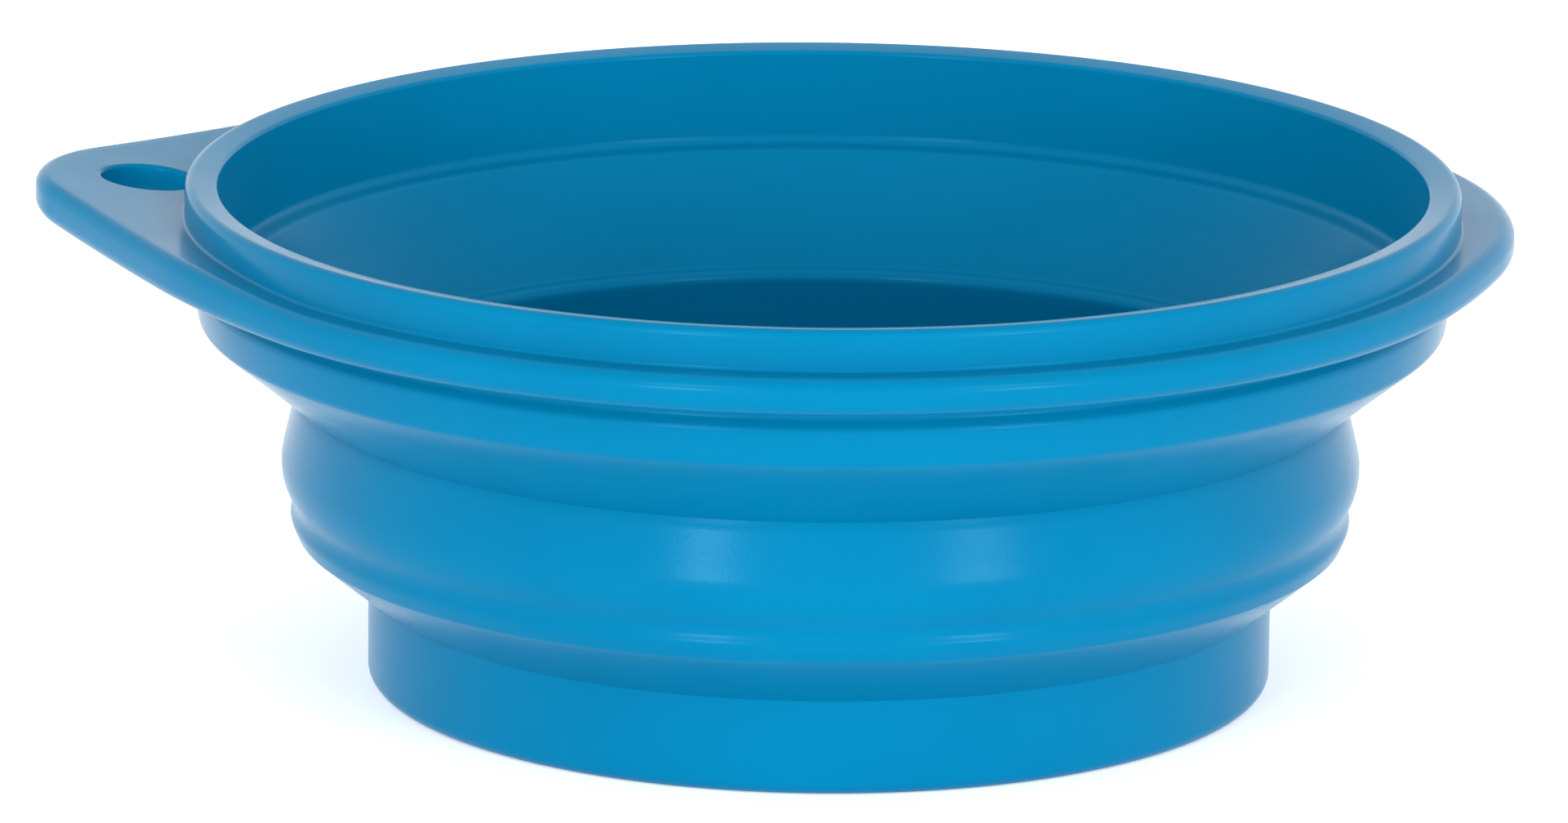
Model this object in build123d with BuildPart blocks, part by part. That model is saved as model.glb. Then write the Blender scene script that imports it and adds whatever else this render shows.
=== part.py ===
from build123d import *
import os
from math import acos, cos, degrees, radians, sin, tan

# Collapsible travel bowl, moulded in one soft rubber-like material: an upstanding rim collar on a
# flat flange, then three stepped walls joined by two thin cones that turn inside out when the bowl
# is pushed flat. The zones of the moulding are separate solids that meet face to face.
# Millimetres, +Z up, origin at the centre of the underside, hang tab towards -X.
# The collar sets the overall width, and every step of the wall is measured in from it.

# Rim
collar_radius = 63.5
collar_thickness = 3.3
collar_height = 4.3
collar_top_fall = 0.6        # the rim top slopes inwards
collar_edge_radius = 0.9
flange_reach = 3.3           # beyond the collar
flange_thickness = 3.7
flange_edge_radius = 1.5

# Upper tier
upper_height = 5.9           # upper fold to the flange
upper_bead_inset = 1.0       # outside of the rolled bead, in from the collar
upper_bead_height = 1.9      # above the fold
upper_groove_height = 4.7    # above the fold
upper_groove_depth = 0.9     # in from the bead
upper_shoulder_inset = 0.45  # under the flange, in from the bead
ledge_depth = 2.1            # how far the inner ledge stands into the bowl
ledge_height = 2.8           # above the fold
ledge_drop = 0.5             # the ledge runs out into the mouth this far below the flange
inner_foot_extra = 1.5       # the wall is this much thicker than the fold at its foot

# Folds, the two cones between the tiers
upper_fold_height = 8.0
upper_fold_run = 9.6         # level
lower_fold_height = 5.8
lower_fold_run = 7.2         # level
fold_width = 2.2             # both cones, measured level

# Middle tier
middle_height = 14.0         # lower fold to the upper crease
middle_wall_thickness = 2.4
middle_belly = 1.4           # how far the wall swells beyond the crease
middle_belly_height = 6.2    # above the fold
middle_groove_depth = 1.3    # in from the belly
middle_groove_height = 3.1   # above the fold
middle_bead_step = 0.5       # outside of the rolled bead, beyond the crease
middle_bead_height = 1.5     # above the fold

# Base tier
floor_thickness = 2.2
base_height = 9.6            # table to the lower crease
base_wall_thickness = 2.4
base_edge_radius = 1.4       # rounding where the wall meets the underside

# Each bead stands out this far from the cone below it
bead_corner = 0.5

# Hang tab, a canted extension of the flange with a hole for a clip
tab_reach = 13.0             # beyond the flange edge
tab_tip_radius = 15.7
tab_fullness = 1.3           # how far its sides stand off the flange edge where they leave it
tab_thickness = 4.2
tab_rise = 5.8               # degrees above level
tab_hole_radius = 4.8
tab_hole_land = 0.4          # material between the collar and the hole
tab_edge_radius = 1.4

# Pull lip, a shallow swelling of the flange to press or pull on
lip_reach = 2.6
lip_tip_radius = 50.0
lip_fullness = 0.5
lip_angle = 20.0             # degrees round from the +X axis

# Heights of the joins, from the table up
lower_crease_z = base_height
middle_foot_z = lower_crease_z + lower_fold_height
upper_crease_z = middle_foot_z + middle_height
upper_foot_z = upper_crease_z + upper_fold_height
flange_bottom_z = upper_foot_z + upper_height
flange_top_z = flange_bottom_z + flange_thickness
flange_middle_z = (flange_bottom_z + flange_top_z) / 2
tab_middle_z = flange_bottom_z + tab_thickness / 2
rim_top_z = flange_top_z + collar_height

# Outside radii of the joins, from the rim inwards
flange_radius = collar_radius + flange_reach
mouth_radius = collar_radius - collar_thickness
upper_bead_radius = collar_radius - upper_bead_inset
upper_foot_radius = upper_bead_radius - bead_corner
middle_crease_radius = upper_foot_radius - upper_fold_run
middle_belly_radius = middle_crease_radius + middle_belly
middle_bead_radius = middle_crease_radius + middle_bead_step
middle_foot_radius = middle_bead_radius - bead_corner
base_radius = middle_foot_radius - lower_fold_run

# How far tools reach past the rubber that they trim
overrun = 1.0

os.makedirs("parts", exist_ok=True)


def save(piece, name):
    piece.part.label = name
    export_step(piece.part, f"parts/{name}.step")


def flank_angle(reach, tip_radius, fullness):
    # Where the straight sides of a lobe begin, as an angle from its axis.
    return degrees(acos((flange_radius + fullness - tip_radius) / (flange_radius + reach - tip_radius)))


def root_angle(reach, tip_radius, fullness):
    # Where a lobe leaves the flange edge: a straight lead-in runs from here to the start of its side.
    return flank_angle(reach, tip_radius, fullness) + degrees(acos(flange_radius / (flange_radius + fullness)))


def on_circle(radius, angle, centre_x=0.0):
    return (centre_x + radius * cos(radians(angle)), radius * sin(radians(angle)))


def lobe_outline(plane, reach, tip_radius, fullness):
    # Root on the collar, a lead-in tangent to the flange edge, then a straight side and a round tip.
    flank = flank_angle(reach, tip_radius, fullness)
    root = root_angle(reach, tip_radius, fullness)
    tip_x = flange_radius + reach - tip_radius
    with BuildSketch(plane) as outline:
        with BuildLine():
            CenterArc((0, 0), collar_radius, -root, 2 * root)
            CenterArc((tip_x, 0), tip_radius, -flank, 2 * flank)
            for side in (-1, 1):
                Polyline(
                    on_circle(collar_radius, side * root),
                    on_circle(flange_radius, side * root),
                    on_circle(flange_radius + fullness, side * flank),
                    on_circle(tip_radius, side * flank, tip_x),
                )
        make_face()
    return outline.sketch


def lobe_notch(plane, shape):
    # The part of the flange that a lobe takes the place of.
    root = root_angle(*shape)
    outside = flange_radius + overrun
    with BuildSketch(plane) as notch:
        with BuildLine():
            CenterArc((0, 0), collar_radius, -root, 2 * root)
            CenterArc((0, 0), outside, -root, 2 * root)
            for side in (-root, root):
                Line(on_circle(collar_radius, side), on_circle(outside, side))
        make_face()
    return notch.sketch


def is_free_edge(edge):
    # The edges round a lobe's outside, above and below, and not the upright ones between them.
    middle = edge @ 0.5
    outside = Vector(middle.X, middle.Y).length > flange_radius
    upright = abs((edge % 0.5).Z) > cos(radians(45))
    return outside and not upright


tab_plane = Plane.XY.rotated((0, 0, 180))
tab_shape = (tab_reach, tab_tip_radius, tab_fullness)
lip_plane = Plane.XY.rotated((0, 0, lip_angle))
lip_shape = (lip_reach, lip_tip_radius, lip_fullness)

# Base floor: a plain disc with a rounded lower edge
with BuildPart() as base_floor:
    with BuildSketch():
        Circle(base_radius)
    extrude(amount=floor_thickness)
    fillet(base_floor.edges().sort_by(Axis.Z)[0], base_edge_radius)
save(base_floor, "base_floor")

# Base wall: an upright ring that stands on the floor
with BuildPart() as base_wall:
    with BuildSketch(Plane.XY.offset(floor_thickness)):
        Circle(base_radius)
        Circle(base_radius - base_wall_thickness, mode=Mode.SUBTRACT)
    extrude(amount=lower_crease_z - floor_thickness)
save(base_wall, "base_wall")


def cone_web(inner_radius, outer_radius, bottom_z, top_z):
    # A thin cone between two level ends.
    with BuildPart() as web:
        with BuildSketch(Plane.XZ):
            with BuildLine():
                Polyline(
                    (inner_radius - fold_width, bottom_z),
                    (inner_radius, bottom_z),
                    (outer_radius, top_z),
                    (outer_radius - fold_width, top_z),
                    close=True,
                )
            make_face()
        revolve(axis=Axis.Z)
    return web


lower_fold = cone_web(base_radius, middle_foot_radius, lower_crease_z, middle_foot_z)
save(lower_fold, "lower_fold")

upper_fold = cone_web(middle_crease_radius, upper_foot_radius, upper_crease_z, upper_foot_z)
save(upper_fold, "upper_fold")

# Middle wall: swells below the crease, then draws in to a groove above the bead at its foot
with BuildPart() as middle_wall:
    with BuildSketch(Plane.XZ):
        with BuildLine():
            crease = (middle_crease_radius, upper_crease_z)
            belly = (middle_belly_radius, middle_foot_z + middle_belly_height)
            groove = (middle_belly_radius - middle_groove_depth, middle_foot_z + middle_groove_height)
            bead = (middle_bead_radius, middle_foot_z + middle_bead_height)
            Spline(crease, belly, tangents=((middle_belly, middle_belly_height - middle_height), (0, -1)))
            Spline(belly, groove, bead, tangents=((0, -1), (0, -1)))
            Polyline(
                bead,
                (middle_foot_radius, middle_foot_z),
                (middle_foot_radius - middle_wall_thickness, middle_foot_z),
                (middle_belly_radius - middle_wall_thickness, belly[1]),
                (middle_crease_radius - middle_wall_thickness, upper_crease_z),
                crease,
            )
        make_face()
    revolve(axis=Axis.Z)
save(middle_wall, "middle_wall")

# Upper wall: a bead outside its foot and a rounded ledge inside, level with it
with BuildPart() as upper_wall:
    with BuildSketch(Plane.XZ):
        with BuildLine():
            shoulder = (upper_bead_radius - upper_shoulder_inset, flange_bottom_z)
            groove = (upper_bead_radius - upper_groove_depth, upper_foot_z + upper_groove_height)
            bead = (upper_bead_radius, upper_foot_z + upper_bead_height)
            Spline(shoulder, groove, bead)
            Polyline(
                bead,
                (upper_foot_radius, upper_foot_z),
                (upper_foot_radius - fold_width - inner_foot_extra, upper_foot_z),
                (mouth_radius - ledge_depth, upper_foot_z + ledge_height),
                (mouth_radius, flange_bottom_z - ledge_drop),
                (mouth_radius, flange_bottom_z),
                shoulder,
            )
        make_face()
    revolve(axis=Axis.Z)
save(upper_wall, "upper_wall")

# Rim flange: a flat ring with a rounded edge, cut away where the tab and the lip take its place
with BuildPart() as rim_flange:
    with BuildSketch(Plane.XZ) as flange_section:
        with Locations(((mouth_radius + flange_radius) / 2, flange_middle_z)):
            Rectangle(flange_radius - mouth_radius, flange_thickness)
        outer_corners = flange_section.vertices().group_by(Axis.X)[-1]
        fillet(outer_corners, flange_edge_radius)
    revolve(axis=Axis.Z)
    for plane, shape in ((tab_plane, tab_shape), (lip_plane, lip_shape)):
        extrude(lobe_notch(plane, shape), amount=rim_top_z, mode=Mode.SUBTRACT)
save(rim_flange, "rim_flange")

# Rim collar: the upstanding ring, its top sloping into the bowl
with BuildPart() as rim_collar:
    with BuildSketch(Plane.XZ) as collar_section:
        with BuildLine():
            Polyline(
                (mouth_radius, flange_top_z),
                (collar_radius, flange_top_z),
                (collar_radius, rim_top_z),
                (mouth_radius, rim_top_z - collar_top_fall),
                close=True,
            )
        make_face()
        top_corners = collar_section.vertices().group_by(Axis.Y)[1:]
        fillet([corner for group in top_corners for corner in group], collar_edge_radius)
    revolve(axis=Axis.Z)
save(rim_collar, "rim_collar")

# Hang tab: the flange carried outwards and upwards, with a clip hole square to its face
tab_slope = tan(radians(tab_rise))
with BuildPart() as hang_tab:
    with BuildSketch(Plane.XZ):
        with BuildLine():
            beyond = flange_reach + tab_reach + overrun
            Polyline(
                (collar_radius, flange_bottom_z),
                (collar_radius + beyond, flange_bottom_z + beyond * tab_slope),
                (collar_radius + beyond, flange_bottom_z + tab_thickness + beyond * tab_slope),
                (collar_radius, flange_bottom_z + tab_thickness),
                close=True,
            )
        make_face()
    revolve(axis=Axis.Z)
    extrude(lobe_outline(tab_plane, *tab_shape), amount=2 * rim_top_z, mode=Mode.INTERSECT)
    fillet(hang_tab.edges().filter_by(is_free_edge), tab_edge_radius)
    hole_distance = collar_radius + tab_hole_land + tab_hole_radius
    hole_z = tab_middle_z + (hole_distance - collar_radius) * tab_slope
    with Locations(Location((-hole_distance, 0, hole_z), (0, tab_rise, 0))):
        Hole(tab_hole_radius)
save(hang_tab, "hang_tab")

# Pull lip: the flange swells a little
with BuildPart() as pull_lip:
    extrude(
        lobe_outline(lip_plane.offset(flange_bottom_z), *lip_shape),
        amount=flange_thickness,
    )
    fillet(pull_lip.edges().filter_by(is_free_edge), flange_edge_radius)
save(pull_lip, "pull_lip")
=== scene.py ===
import math

import bmesh
import bpy
from mathutils import Matrix, Vector


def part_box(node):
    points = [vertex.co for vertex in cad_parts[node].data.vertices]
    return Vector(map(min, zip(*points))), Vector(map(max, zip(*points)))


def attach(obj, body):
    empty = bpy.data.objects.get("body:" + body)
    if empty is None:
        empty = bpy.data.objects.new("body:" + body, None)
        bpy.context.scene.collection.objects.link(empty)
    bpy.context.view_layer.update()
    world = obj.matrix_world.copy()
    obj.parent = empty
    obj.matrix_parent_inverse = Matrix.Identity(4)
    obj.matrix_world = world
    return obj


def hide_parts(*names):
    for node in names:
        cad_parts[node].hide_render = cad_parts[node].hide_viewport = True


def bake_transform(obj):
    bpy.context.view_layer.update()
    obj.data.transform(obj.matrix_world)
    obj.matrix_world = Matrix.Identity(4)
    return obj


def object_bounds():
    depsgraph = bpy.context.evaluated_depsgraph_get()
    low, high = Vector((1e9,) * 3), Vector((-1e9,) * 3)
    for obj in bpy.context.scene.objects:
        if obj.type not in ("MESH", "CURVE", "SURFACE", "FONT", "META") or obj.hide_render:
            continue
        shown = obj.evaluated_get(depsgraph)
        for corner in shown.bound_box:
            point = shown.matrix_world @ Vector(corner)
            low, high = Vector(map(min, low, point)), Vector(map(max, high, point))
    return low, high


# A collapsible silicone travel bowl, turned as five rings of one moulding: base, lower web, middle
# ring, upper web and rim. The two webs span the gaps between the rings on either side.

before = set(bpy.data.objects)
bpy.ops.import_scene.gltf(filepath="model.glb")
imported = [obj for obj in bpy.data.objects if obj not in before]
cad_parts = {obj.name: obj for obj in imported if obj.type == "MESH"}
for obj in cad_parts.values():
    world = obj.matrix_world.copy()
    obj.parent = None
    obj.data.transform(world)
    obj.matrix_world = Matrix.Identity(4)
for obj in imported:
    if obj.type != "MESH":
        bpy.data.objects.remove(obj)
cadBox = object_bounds()
mm = 0.001
scene = bpy.context.scene
scene.view_settings.view_transform = "Standard"   # keeps the strong blue of the pigment


def nodeTop(node):
    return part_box(node)[1].z / mm


def nodeFoot(node):
    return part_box(node)[0].z / mm


def nodeRadius(node):
    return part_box(node)[1].y / mm


# Heights and radii of the moulding, in millimetres, as the frame has them
lowerCrease = nodeTop("base_wall")
middleFoot = nodeFoot("middle_wall")
upperCrease = nodeTop("middle_wall")
upperFoot = nodeFoot("upper_wall")
flangeBottom = nodeFoot("rim_flange")
flangeTop = nodeTop("rim_flange")
baseRadius = nodeRadius("base_wall")
lowerFoldRadius = nodeRadius("lower_fold")
upperFoldRadius = nodeRadius("upper_fold")
bellyRadius = nodeRadius("middle_wall")
rimTop = nodeTop("rim_collar")
collarRadius = nodeRadius("rim_collar")
flangeRadius = nodeRadius("rim_flange")
tabTip = -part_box("hang_tab")[0].x / mm

tab = {
    "azimuth": 180.0,
    "tipRadius": 15.7,
    "fullness": 1.3,           # its sides stand off the flange edge by this much where they leave it
    "thicker": 0.5,            # than the flange, all of it on top
    "rise": 5.8,               # degrees above level
    "riseStarts": 50.0,        # degrees of azimuth either side where the flange begins to lift
    "riseFull": 30.0,          # and where it has lifted
    "holeRadius": 4.8,
    "holeDistance": 68.7,
    "holeRound": 0.45,
    "holeSteps": 96,
    "cutterPast": 2.0,         # the cutter reaches this far past both faces
    "cutterFlare": 0.35,       # and is this much wider there
}

lip = {
    "azimuth": 20.0,
    "reach": 2.6,
    "tipRadius": 50.0,
    "fullness": 0.5,
}

turning = {                    # degrees between sections, and how far from the tab's axis each holds
    "tipStep": 0.25,
    "tipReach": 8.0,
    "tabStep": 0.5,
    "tabReach": 50.0,
    "step": 1.0,
    "sharpAngle": 34.0,        # edges sharper than this are shaded as edges
}


def smoothStep(a, b, x):
    t = min(1.0, max(0.0, (x - a) / (b - a)))
    return t * t * (3.0 - 2.0 * t)


def azimuthGap(a, b):
    return abs((a - b + 180.0) % 360.0 - 180.0)


def lobeRadius(gap, reach, tipRadius, fullness):
    # How far out the flange edge stands, this many degrees from the lobe's axis: a lead-in tangent
    # to the round edge, a straight flank and a round tip.
    easing = math.radians(9)
    standOff = flangeRadius + fullness
    centre = flangeRadius + reach - tipRadius
    flank = math.acos((standOff - tipRadius) / centre)
    leadIn = math.acos(flangeRadius / standOff)
    gap = math.radians(gap)
    if gap >= flank + leadIn:
        return flangeRadius
    tipEnds = math.atan2(tipRadius * math.sin(flank), centre + tipRadius * math.cos(flank))
    easeFrom = max(tipEnds, flank - easing)
    if gap >= easeFrom:
        # One smooth curve in place of the corner between the flank and the lead-in
        width = flank + leadIn - easeFrom
        t = (gap - easeFrom) / width
        start = standOff / math.cos(flank - easeFrom)
        slope = -start * math.tan(flank - easeFrom) * width
        eased = (2 * t ** 3 - 3 * t ** 2 + 1) * start + (t ** 3 - 2 * t ** 2 + t) * slope
        return eased + (3 * t ** 2 - 2 * t ** 3) * flangeRadius
    if gap > tipEnds:
        return standOff / math.cos(flank - gap)
    return centre * math.cos(gap) + math.sqrt(tipRadius ** 2 - (centre * math.sin(gap)) ** 2)


def outlineRadius(azimuth):
    tabEdge = lobeRadius(azimuthGap(azimuth, tab["azimuth"]), tabTip - flangeRadius, tab["tipRadius"],
                         tab["fullness"])
    lipEdge = lobeRadius(azimuthGap(azimuth, lip["azimuth"]), lip["reach"], lip["tipRadius"],
                         lip["fullness"])
    return max(tabEdge, lipEdge)


def tabShare(azimuth):
    return smoothStep(tab["riseStarts"], tab["riseFull"], azimuthGap(azimuth, tab["azimuth"]))


def liftAt(azimuth, radius):
    beyond = max(0.0, radius - collarRadius)
    return beyond * math.tan(math.radians(tab["rise"])) * tabShare(azimuth)


def turnSteps():
    # Azimuths all round, closer together on the tab and closest at its tip.
    angles, angle = [], 0.0
    while angle < 359.99:
        angles.append(angle)
        gap = azimuthGap(angle, tab["azimuth"])
        if gap < turning["tipReach"]:
            angle += turning["tipStep"]
        elif gap < turning["tabReach"]:
            angle += turning["tabStep"]
        else:
            angle += turning["step"]
    return angles


azimuths = turnSteps()


def roundedPath(corners, closed=True, arcStep=9.0):
    # Corners are (radius, height, rounding). Each rounding becomes an arc with even steps.
    path, count = [], len(corners)
    for i, (r, z, rounding) in enumerate(corners):
        if rounding <= 0 or (not closed and i in (0, count - 1)):
            path.append((r, z))
            continue
        here = Vector((r, z))
        before = Vector(corners[i - 1][:2]) - here
        after = Vector(corners[(i + 1) % count][:2]) - here
        turn = math.pi - before.angle(after)
        reach = rounding * math.tan(turn / 2)
        start, end = here + before.normalized() * reach, here + after.normalized() * reach
        middleWay = (before.normalized() + after.normalized()).normalized()
        centre = here + middleWay * (rounding / math.cos(turn / 2))
        steps = max(2, math.ceil(math.degrees(turn) / arcStep))
        first = math.atan2(start.y - centre.y, start.x - centre.x)
        last = math.atan2(end.y - centre.y, end.x - centre.x)
        sweep = (last - first + math.pi) % (2 * math.pi) - math.pi
        for k in range(steps + 1):
            a = first + sweep * k / steps
            path.append((centre.x + rounding * math.cos(a), centre.y + rounding * math.sin(a)))
    return path


def stepsAlong(a, b, parts):
    return [(a[0] + (b[0] - a[0]) * k / parts, a[1] + (b[1] - a[1]) * k / parts) for k in range(parts)]


def subdividedPath(path, longest, closed=True):
    out = []
    pairs = list(zip(path, path[1:] + path[:1])) if closed else list(zip(path, path[1:]))
    for a, b in pairs:
        out += stepsAlong(a, b, max(1, math.ceil(math.dist(a, b) / longest)))
    if not closed:
        out.append(path[-1])
    return out


def heightOnLine(a, b, radius):
    return a[1] + (b[1] - a[1]) * (radius - a[0]) / (b[0] - a[0])


def pointAlong(a, b, share):
    return (a[0] + (b[0] - a[0]) * share, a[1] + (b[1] - a[1]) * share)


def insideOf(a, b, point, thickness):
    # The point on the inner skin square to the cone that runs from a up to b.
    d = Vector((b[0] - a[0], b[1] - a[1])).normalized()
    return (point[0] - d.y * thickness, point[1] + d.x * thickness)


fold = {
    "creaseRadius": 52.4,      # outside, where the upper web leaves the middle ring
    "thickAtCrease": 1.2,
    "lowerThickAtBead": 2.1,
    "upperThickAtBead": 3.1,   # the inside runs straight up to the ledge
    "upperShare": 0.56,        # how much of each cone bends, from its crease outwards
    "lowerShare": 0.70,
    "rows": 30,                # from crease to bead, closest together at both ends
    "splitAngle": 60.0,        # degrees, keeps the cut ends of the skin crisp
}


def foldLines(foot, head, share, thickAtBead):
    # Outer and inner ends of the part of a cone that bends.
    top = pointAlong(foot, head, share)
    return {
        "foot": foot,
        "top": top,
        "innerFoot": insideOf(foot, head, foot, fold["thickAtCrease"]),
        "innerTop": insideOf(foot, head, top, thickAtBead),
        "thickAtBead": thickAtBead,
    }


lowerFold = foldLines((baseRadius, lowerCrease), (lowerFoldRadius, middleFoot),
                      fold["lowerShare"], fold["lowerThickAtBead"])
upperFold = foldLines((fold["creaseRadius"], upperCrease), (upperFoldRadius, upperFoot),
                      fold["upperShare"], fold["upperThickAtBead"])


def pieceFrom(name, bm):
    mesh = bpy.data.meshes.new(name)
    bm.to_mesh(mesh)
    bm.free()
    piece = bpy.data.objects.new(name, mesh)
    scene.collection.objects.link(piece)
    return piece


def shadeSmooth(mesh):
    for polygon in mesh.polygons:
        polygon.use_smooth = True
    mesh.set_sharp_from_angle(angle=math.radians(turning["sharpAngle"]))


def turnedPiece(name, pathAt, closed=True):
    # Turns a section round the Z axis. It may change with the azimuth, but keeps its count of points.
    bm = bmesh.new()
    rings = []
    for azimuth in azimuths:
        a = math.radians(azimuth)
        ring = []
        for r, z in pathAt(azimuth):
            if r < 1e-6:
                ring.append(None)
                continue
            z += liftAt(azimuth, r)
            ring.append(bm.verts.new((r * math.cos(a) * mm, r * math.sin(a) * mm, z * mm)))
        rings.append(ring)
    sample = pathAt(azimuths[0])
    poles = {k: bm.verts.new((0, 0, sample[k][1] * mm)) for k, v in enumerate(rings[0]) if v is None}
    count = len(sample)
    for i, ring in enumerate(rings):
        following = rings[(i + 1) % len(rings)]
        for k in range(count if closed else count - 1):
            n = (k + 1) % count
            corners = [ring[k] or poles.get(k), following[k] or poles.get(k),
                       following[n] or poles.get(n), ring[n] or poles.get(n)]
            face = []
            for v in corners:
                if v not in face:
                    face.append(v)
            if len(face) > 2:
                bm.faces.new(face)
    bmesh.ops.recalc_face_normals(bm, faces=bm.faces)
    piece = pieceFrom(name, bm)
    shadeSmooth(piece.data)
    return piece


base = {
    "wall": 2.4,
    "edgeRadius": 1.4,
    "floorThickness": 2.2,
    "floorCorner": 2.6,        # inside, between floor and wall
    "lipRoll": 3.0,            # inside, where the wall runs into the lower web
    "longestStep": 3.0,        # between neighbouring points of the section
}


def basePath():
    wallInside = baseRadius - base["wall"]
    lipZ = heightOnLine(lowerFold["innerFoot"], lowerFold["innerTop"], wallInside)
    corners = [
        (0, 0, 0),
        (baseRadius, 0, base["edgeRadius"]),
        (baseRadius, lowerCrease, 0),
        (*lowerFold["innerFoot"], 0),
        (wallInside, lipZ, base["lipRoll"]),
        (wallInside, base["floorThickness"], base["floorCorner"]),
        (0, base["floorThickness"], 0),
    ]
    return subdividedPath(roundedPath(corners, closed=False), base["longestStep"], closed=False)


middle = {
    "wall": 2.4,
    "bellyUp": 6.2,            # above the fold
    "bellyRound": 6.0,
    "bellyCorner": 0.45,       # the corner before rounding stands this far outside the belly
    "bellyInsideRound": 6.0,
    "grooveRadius": 52.6,
    "grooveUp": 3.0,
    "grooveRound": 1.9,
    "beadRadius": 53.05,
    "beadUp": 1.6,
    "beadRound": 1.2,
    "footRound": 0.7,
    "hollow": 0.33,            # inside, just under the crease
    "hollowRound": 0.8,
    "lipRadius": 49.7,         # a small shelf inside the crease
    "lipDrop": 0.6,
    "lipRoll": 1.1,
    "shoulderUp": 4.3,         # inside, where the wall turns in to the ledge
    "shoulderRound": 2.4,
    "ledgeRadius": 49.5,
    "ledgeUp": 3.3,
    "ledgeRound": 0.8,
    "ledgeFootRound": 0.7,
    "longestStep": 1.2,
}


def middlePath():
    bellyInside = bellyRadius - middle["wall"]
    hollowRadius = upperFold["innerFoot"][0] - middle["hollow"]
    hollowZ = heightOnLine(upperFold["innerFoot"], upperFold["innerTop"], hollowRadius)
    ledgeTurn = middle["ledgeRadius"]
    ledgeFoot = heightOnLine(lowerFold["innerFoot"], lowerFold["innerTop"], ledgeTurn)
    corners = [
        (*lowerFold["top"], 0),
        (lowerFoldRadius, middleFoot, middle["footRound"]),
        (middle["beadRadius"], middleFoot + middle["beadUp"], middle["beadRound"]),
        (middle["grooveRadius"], middleFoot + middle["grooveUp"], middle["grooveRound"]),
        (bellyRadius + middle["bellyCorner"], middleFoot + middle["bellyUp"], middle["bellyRound"]),
        (fold["creaseRadius"], upperCrease, 0),
        (*upperFold["innerFoot"], 0),
        (hollowRadius, hollowZ, middle["hollowRound"]),
        (middle["lipRadius"], hollowZ - middle["lipDrop"], middle["lipRoll"]),
        (bellyInside, middleFoot + middle["bellyUp"], middle["bellyInsideRound"]),
        (bellyInside, middleFoot + middle["shoulderUp"], middle["shoulderRound"]),
        (ledgeTurn, middleFoot + middle["ledgeUp"], middle["ledgeRound"]),
        (ledgeTurn, ledgeFoot, middle["ledgeFootRound"]),
        (*lowerFold["innerTop"], 0),
    ]
    return subdividedPath(roundedPath(corners), middle["longestStep"])


rim = {
    "footOut": 0.15,           # the wall's foot laps this far over the fold, before rounding
    "footSink": 0.05,
    "wallFootRound": 1.1,
    "shoulderRadius": 62.65,
    "shoulderDrop": 2.3,
    "shoulderRound": 1.0,
    "grooveRadius": 62.0,
    "grooveDrop": 1.3,         # below the flange
    "grooveRound": 0.8,
    "grooveLean": 0.05,
    "grooveHeadRound": 0.7,
    "flangeRound": 1.5,
    "footRound": 0.32,         # where the collar stands on the flange
    "mouthRadius": 60.2,
    "topRise": 0.08,           # before rounding
    "topFall": 0.6,            # the top slopes into the bowl
    "topOuterRound": 0.85,
    "topInnerRound": 0.45,
    "ledgeRadius": 58.3,
    "ledgeUp": 3.2,            # above the fold
    "ledgeFall": 0.4,
    "ledgeHollow": 1.0,
    "ledgeRoll": 1.2,
    "flatSteps": 10,           # along each flat run of the flange, so that the tab can rise
    "longestStep": 1.35,
}


def rimPath(azimuth):
    edge = outlineRadius(azimuth)
    mouth = rim["mouthRadius"]
    ledge = rim["ledgeRadius"]
    plateTop = flangeTop + tab["thicker"] * tabShare(azimuth)
    flatEnds = edge - rim["flangeRound"]
    collarTop = rimTop + rim["topRise"]
    corners = [
        (*upperFold["top"], 0),
        (upperFoldRadius + rim["footOut"], upperFoot - rim["footSink"], rim["wallFootRound"]),
        (rim["shoulderRadius"], flangeBottom - rim["shoulderDrop"], rim["shoulderRound"]),
        (rim["grooveRadius"], flangeBottom - rim["grooveDrop"], rim["grooveRound"]),
        (rim["grooveRadius"] + rim["grooveLean"], flangeBottom, rim["grooveHeadRound"]),
        (edge, flangeBottom, rim["flangeRound"]),
        (edge, plateTop, rim["flangeRound"]),
        (collarRadius, plateTop, rim["footRound"]),
        (collarRadius, collarTop, rim["topOuterRound"]),
        (mouth, collarTop - rim["topFall"], rim["topInnerRound"]),
        (mouth, upperFoot + rim["ledgeUp"] + rim["ledgeFall"], rim["ledgeHollow"]),
        (ledge, upperFoot + rim["ledgeUp"], rim["ledgeRoll"]),
        (*upperFold["innerTop"], 0),
    ]
    path = roundedPath(corners)
    slack = 0.01               # mm, for the two runs that end where the edge rounding starts
    out = []
    for a, b in zip(path, path[1:] + path[:1]):
        low, high = min(a[0], b[0]), max(a[0], b[0])
        flat = abs(a[1] - b[1]) < 1e-6 and low < flatEnds + slack and high > flatEnds - slack
        parts = rim["flatSteps"] if flat else 2 if math.dist(a, b) > rim["longestStep"] else 1
        out += stepsAlong(a, b, parts)
    return out


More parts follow.
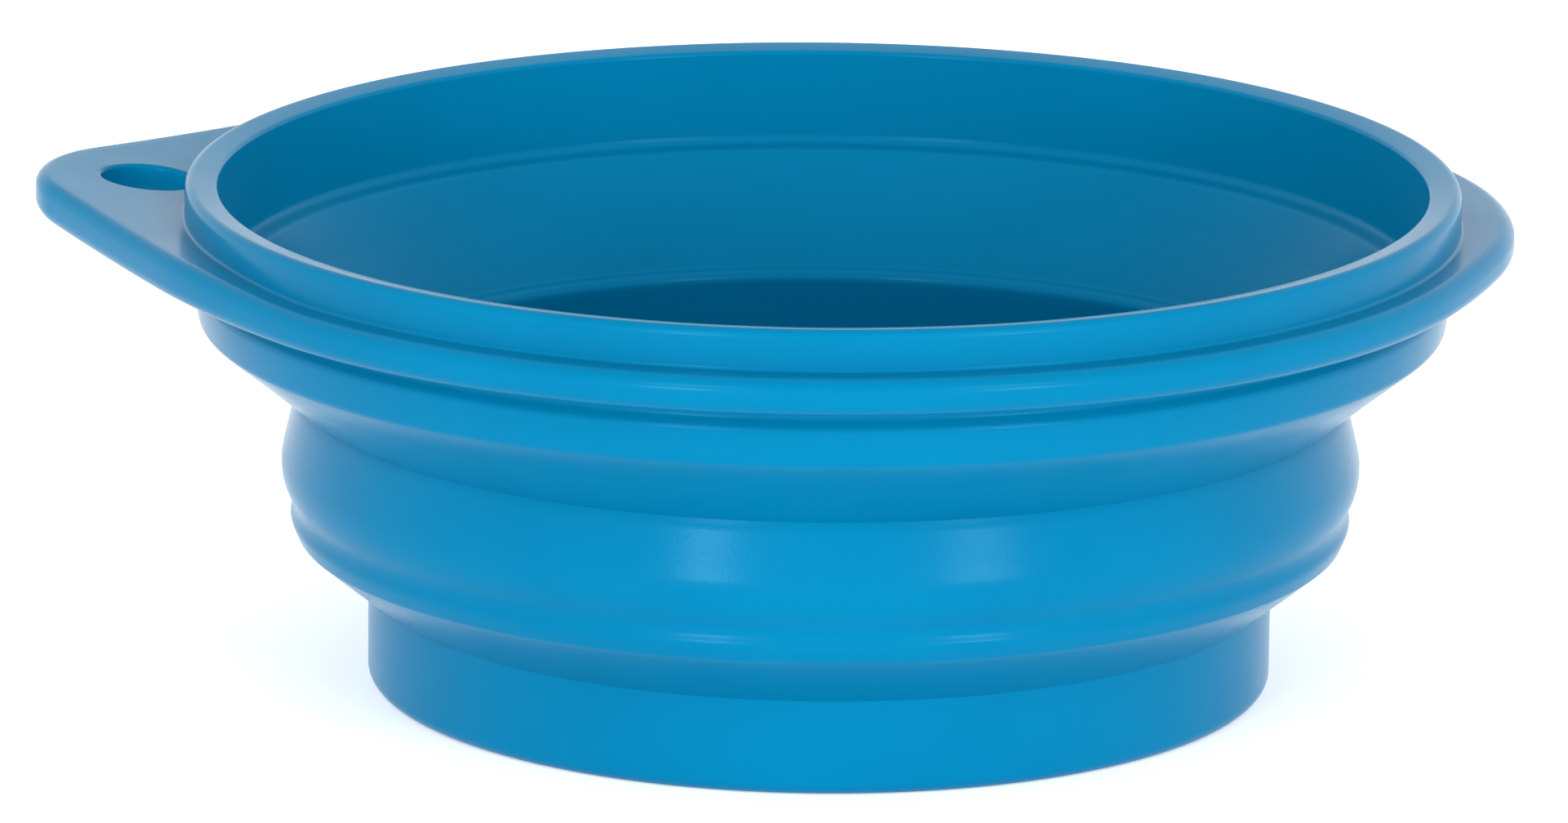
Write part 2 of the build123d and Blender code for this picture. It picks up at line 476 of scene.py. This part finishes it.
def webPiece(name, lines):
    # One skin along the outside of the cone, thickened inwards, more towards the bead.
    rows = fold["rows"]
    shares = [smoothStep(0, 1, k / rows) for k in range(rows + 1)]
    path = [pointAlong(lines["foot"], lines["top"], s) for s in shares]
    web = turnedPiece(name, lambda azimuth: path, closed=False)
    if web.data.polygons[0].normal.z > 0:
        web.data.flip_normals()
    thickness = web.vertex_groups.new(name="thickness")
    thinnest = fold["thickAtCrease"] / lines["thickAtBead"]
    for v in web.data.vertices:
        share = shares[v.index % (rows + 1)]
        thickness.add([v.index], thinnest + (1 - thinnest) * share, "REPLACE")
    wall = web.modifiers.new("rubberWall", "SOLIDIFY")
    wall.thickness = lines["thickAtBead"] * mm
    wall.offset = -1.0
    wall.vertex_group = "thickness"
    wall.use_rim = True
    ends = web.modifiers.new("sharpEnds", "EDGE_SPLIT")
    ends.split_angle = math.radians(fold["splitAngle"])
    return web


def clipHole(piece):
    # A hole with rounded edges, square to the canted tab, cut once and applied.
    r, e = tab["holeRadius"], tab["holeRound"]
    half = (flangeTop + tab["thicker"] - flangeBottom) / 2
    flare = [(r + e * (1 - math.cos(math.radians(t))), half - e + e * math.sin(math.radians(t)))
             for t in range(0, 81, 10)]
    side = flare[::-1] + [(p[0], -p[1]) for p in flare]
    outer = flare[-1][0]
    wide, past = outer + tab["cutterFlare"], tab["cutterPast"]
    section = [(wide, half + past)] + side + [(wide, -half - past)]
    bm = bmesh.new()
    steps = tab["holeSteps"]
    rings = []
    for radius, z in section:
        rings.append([bm.verts.new((radius * mm * math.cos(2 * math.pi * k / steps),
                                    radius * mm * math.sin(2 * math.pi * k / steps), z * mm))
                      for k in range(steps)])
    for upper, lower in zip(rings, rings[1:]):
        for k in range(steps):
            n = (k + 1) % steps
            bm.faces.new((upper[k], lower[k], lower[n], upper[n]))
    bm.faces.new(rings[0])
    bm.faces.new(rings[-1][::-1])
    bmesh.ops.recalc_face_normals(bm, faces=bm.faces)
    cutter = pieceFrom("holeCutter", bm)
    lift = (tab["holeDistance"] - collarRadius) * math.tan(math.radians(tab["rise"]))
    middleZ = flangeBottom + half + lift
    cutter.matrix_world = (
        Matrix.Rotation(math.radians(tab["azimuth"]), 4, "Z")
        @ Matrix.Translation((tab["holeDistance"] * mm, 0, middleZ * mm))
        @ Matrix.Rotation(math.radians(-tab["rise"]), 4, "Y")
    )
    cut = piece.modifiers.new("clipHole", "BOOLEAN")
    cut.operation = "DIFFERENCE"
    cut.solver = "EXACT"
    cut.object = cutter
    bpy.context.view_layer.update()
    graph = bpy.context.evaluated_depsgraph_get()
    cutMesh = bpy.data.meshes.new_from_object(piece.evaluated_get(graph), depsgraph=graph)
    piece.modifiers.clear()
    piece.data = cutMesh
    bpy.data.objects.remove(cutter)
    shadeSmooth(cutMesh)


def linearColor(hexColor):
    channels = [int(hexColor[i:i + 2], 16) / 255 for i in (1, 3, 5)]
    return (*[c / 12.92 if c <= 0.04045 else ((c + 0.055) / 1.055) ** 2.4 for c in channels], 1.0)


def addNode(tree, kind, settings=(), links=()):
    # One node with its settings and the sockets that feed it.
    node = tree.nodes.new(kind)
    for key, value in dict(settings).items():
        if isinstance(key, str) and hasattr(node, key) and key not in node.inputs:
            setattr(node, key, value)
        else:
            node.inputs[key].default_value = value
    for key, socket in dict(links).items():
        tree.links.new(socket, node.inputs[key])
    return node


silicone = {
    "paleColor": "#006C95",
    "deepColor": "#006890",
    "ior": 1.41,
    "specular": 0.10,
    "specularTint": "#9BE0FF",
    "roughness": 0.22,
    "roughnessSpread": 0.03,
    "sheen": 0.01,
    "sheenTint": "#A8E6FF",
    "sheenRoughness": 0.35,
    "patch": 22.0,             # mm, slow drift of the pigment between the two colours
    "grain": 0.45,             # mm, spark-eroded mould texture
    "grainDepth": 0.010,       # mm
    "wave": 9.0,               # mm, slow unevenness of a thick soft wall
    "waveDepth": 0.012,        # mm
}


def mouldedSilicone(name):
    # Compression-moulded silicone rubber: even pigment, a satin skin copied from the mould and a
    # faint dusty sheen at grazing angles.
    s = silicone
    material = bpy.data.materials.new(name)
    material.use_nodes = True
    tree = material.node_tree
    tree.nodes.clear()
    place = {"Vector": addNode(tree, "ShaderNodeTexCoord").outputs["Object"]}
    patches = addNode(tree, "ShaderNodeTexNoise", {"Scale": 1 / (s["patch"] * mm), "Detail": 2.0}, place)
    wave = addNode(tree, "ShaderNodeTexNoise", {"Scale": 1 / (s["wave"] * mm), "Detail": 1.0}, place)
    grain = addNode(tree, "ShaderNodeTexNoise", {"Scale": 1 / (s["grain"] * mm), "Detail": 2.0}, place)
    tint = addNode(tree, "ShaderNodeValToRGB", links={"Fac": patches.outputs["Fac"]})
    tint.color_ramp.interpolation = "EASE"
    tint.color_ramp.elements[0].position = 0.2
    tint.color_ramp.elements[0].color = linearColor(s["deepColor"])
    tint.color_ramp.elements[1].position = 0.8
    tint.color_ramp.elements[1].color = linearColor(s["paleColor"])
    satin = addNode(tree, "ShaderNodeMapRange", {
        "interpolation_type": "SMOOTHSTEP", "From Min": 0.15, "From Max": 0.85,
        "To Min": s["roughness"] - s["roughnessSpread"], "To Max": s["roughness"] + s["roughnessSpread"],
    }, {"Value": wave.outputs["Fac"]})
    waveBump = addNode(tree, "ShaderNodeBump", {"Strength": 1.0, "Distance": s["waveDepth"] * mm},
                       {"Height": wave.outputs["Fac"]})
    grainBump = addNode(tree, "ShaderNodeBump", {"Strength": 1.0, "Distance": s["grainDepth"] * mm},
                        {"Height": grain.outputs["Fac"], "Normal": waveBump.outputs["Normal"]})
    shader = addNode(tree, "ShaderNodeBsdfPrincipled", {
        "IOR": s["ior"],
        "Specular IOR Level": s["specular"],
        "Specular Tint": linearColor(s["specularTint"]),
        "Sheen Weight": s["sheen"],
        "Sheen Tint": linearColor(s["sheenTint"]),
        "Sheen Roughness": s["sheenRoughness"],
    }, {
        "Base Color": tint.outputs["Color"],
        "Roughness": satin.outputs["Result"],
        "Normal": grainBump.outputs["Normal"],
    })
    addNode(tree, "ShaderNodeOutputMaterial", links={"Surface": shader.outputs["BSDF"]})
    return material


print("turning the rings")
basePiece = turnedPiece("base_cup", lambda azimuth: basePath(), closed=False)
middlePiece = turnedPiece("middle_ring", lambda azimuth: middlePath())
rimPiece = turnedPiece("rim_ring", rimPath)
print("cutting the clip hole")
clipHole(rimPiece)
print("making the webs")
lowerWeb = webPiece("lower_web", lowerFold)
upperWeb = webPiece("upper_web", upperFold)

print("painting")
finishes = {
    basePiece: "silicone_base",
    middlePiece: "silicone_middle",
    rimPiece: "silicone_rim",
    lowerWeb: "silicone_folds",
    upperWeb: "silicone_folds",
}
materials = {}
for piece, slotName in finishes.items():
    if slotName not in materials:
        materials[slotName] = mouldedSilicone("moulded" + slotName.title().replace("_", ""))
    piece.data.materials.clear()
    piece.data.materials.append(materials[slotName])

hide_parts("base_floor", "base_wall")
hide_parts("middle_wall")
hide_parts("upper_wall", "rim_flange", "rim_collar", "hang_tab", "pull_lip")
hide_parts("lower_fold")
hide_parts("upper_fold")
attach(basePiece, "base")
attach(middlePiece, "middle_tier")
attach(rimPiece, "rim_tier")


def bendBetween(web):
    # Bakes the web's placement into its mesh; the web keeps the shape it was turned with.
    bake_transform(web)


bendBetween(lowerWeb)
bendBetween(upperWeb)

studio = {
    "horizon": 1.60,           # strength of the white surround, level with the bowl
    "zenith": 0.90,            # and overhead
    "zenithFrom": 0.9,         # the share of the way up from which it stays that dim
    "floorGlow": 0.34,
    "floorSize": 6.0,          # metres
    "panelDistance": 1.1,      # metres from the bowl
    "panelAim": 0.03,          # metres, the height that the panels face
}


def plainMaterial(name, color, glow):
    # Seamless white paper: matt, and lit a little from behind so that it stays near white.
    material = bpy.data.materials.new(name)
    material.use_nodes = True
    tree = material.node_tree
    tree.nodes.clear()
    shader = addNode(tree, "ShaderNodeBsdfPrincipled", {
        "Base Color": linearColor(color), "Roughness": 0.9, "Specular IOR Level": 0.1,
        "Emission Color": linearColor("#FFFFFF"), "Emission Strength": glow,
    })
    addNode(tree, "ShaderNodeOutputMaterial", links={"Surface": shader.outputs["BSDF"]})
    return material


def softbox(name, azimuth, elevation, width, height, power):
    # A soft panel that faces the bowl. Azimuth 0 stands at -Y and 90 at +X, and power is in watts.
    lamp = bpy.data.lights.new(name, "AREA")
    lamp.shape = "RECTANGLE"
    lamp.size, lamp.size_y = width, height
    lamp.energy = power
    box = bpy.data.objects.new(name, lamp)
    a, e = math.radians(azimuth), math.radians(elevation)
    away = Vector((math.sin(a) * math.cos(e), -math.cos(a) * math.cos(e), math.sin(e)))
    box.location = Vector((0, 0, studio["panelAim"])) + away * studio["panelDistance"]
    box.rotation_euler = away.to_track_quat("Z", "Y").to_euler()
    scene.collection.objects.link(box)


print("lighting")
bm = bmesh.new()
half = studio["floorSize"] / 2
bm.faces.new([bm.verts.new((x * half, y * half, cadBox[0].z))
              for x, y in ((-1, -1), (1, -1), (1, 1), (-1, 1))])
floor = pieceFrom("floor", bm)
floor.data.materials.append(plainMaterial("whitePaper", "#F4F4F4", studio["floorGlow"]))

world = bpy.data.worlds.new("whiteSurround")
scene.world = world
world.use_nodes = True
tree = world.node_tree
# White walls all round and a dimmer ceiling
direction = addNode(tree, "ShaderNodeTexCoord").outputs["Generated"]
upward = addNode(tree, "ShaderNodeSeparateXYZ", links={"Vector": direction})
strength = addNode(tree, "ShaderNodeMapRange", {
    "From Min": 0.0, "From Max": studio["zenithFrom"],
    "To Min": studio["horizon"], "To Max": studio["zenith"],
}, {"Value": upward.outputs["Z"]})
sky = tree.nodes["Background"]
sky.inputs["Color"].default_value = linearColor("#FFFFFF")
tree.links.new(strength.outputs["Result"], sky.inputs["Strength"])

cameraTurn = 9.0               # the tab points a little away from the camera
# A low and a high panel on either side, the high ones weaker
leftPanels = cameraTurn - 23
rightPanels = cameraTurn + 33
softbox("leftLow", leftPanels, elevation=8, width=0.17, height=0.17, power=3.3)
softbox("leftHigh", leftPanels, elevation=31, width=0.17, height=0.24, power=1.8)
softbox("rightLow", rightPanels, elevation=8, width=0.22, height=0.17, power=3.2)
softbox("rightHigh", rightPanels, elevation=31, width=0.22, height=0.24, power=1.8)

cameraView = {
    "distance": 1.2304,        # level distance from the bowl's axis
    "height": 0.3380,          # above the table
    "pitch": 14.18,            # degrees below level
    "swing": 0.172,            # degrees to the left of the axis
    "roll": 0.54,
    "lens": 291.5,
}
cameraData = bpy.data.cameras.new("camera")
cameraData.lens = cameraView["lens"]
cameraData.sensor_width = 36.0
cameraData.clip_start, cameraData.clip_end = 0.1, 20.0
camera = bpy.data.objects.new("camera", cameraData)
turn = math.radians(cameraTurn)
camera.matrix_world = (
    Matrix.Translation((cameraView["distance"] * math.sin(turn), -cameraView["distance"] * math.cos(turn),
                        cameraView["height"]))
    @ Matrix.Rotation(turn + math.radians(cameraView["swing"]), 4, "Z")
    @ Matrix.Rotation(math.radians(90 - cameraView["pitch"]), 4, "X")
    @ Matrix.Rotation(math.radians(cameraView["roll"]), 4, "Z")
)
scene.collection.objects.link(camera)
scene.camera = camera
